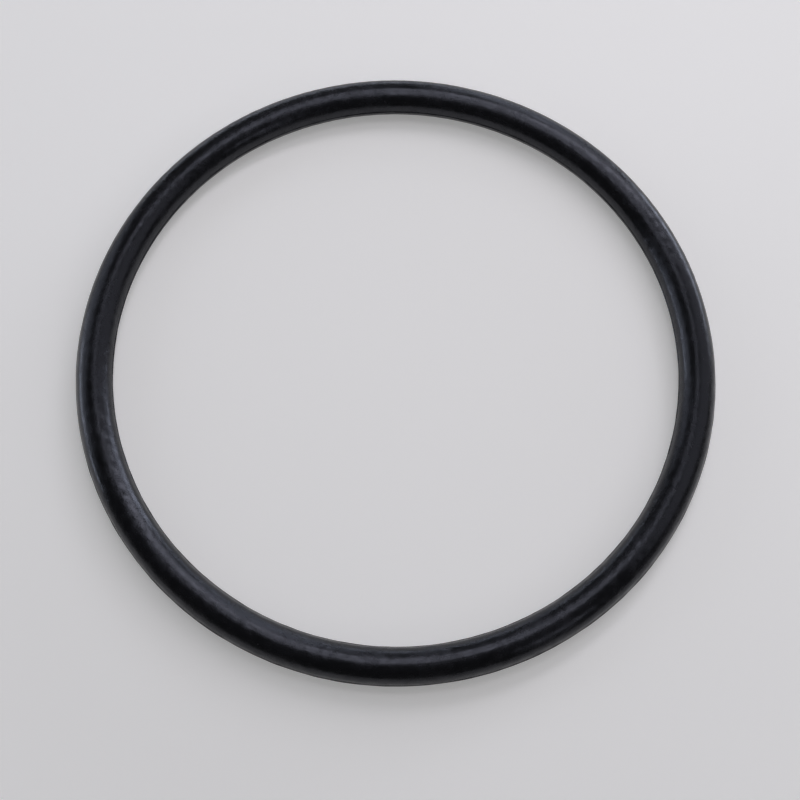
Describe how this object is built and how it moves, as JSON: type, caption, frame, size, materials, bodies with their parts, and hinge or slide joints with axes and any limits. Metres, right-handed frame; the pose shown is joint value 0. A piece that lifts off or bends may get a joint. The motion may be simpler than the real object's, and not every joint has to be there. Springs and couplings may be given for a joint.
{
  "type": "rubber o-ring",
  "caption": "Black moulded rubber o-ring with a round section, lying flat, for sealing in a groove on a shaft or in a bore.",
  "frame": {"origin": "centre of the ring, halfway up its section", "axes": "+Z along the ring's axis; the ring lies flat in the XY plane"},
  "size_m": [0.0462, 0.0462, 0.0026],
  "materials": {
    "nitrile_rubber": "satin black, as moulded"
  },
  "bodies": {
    "root": {"o_ring": "nitrile_rubber"}
  },
  "joints": []
}
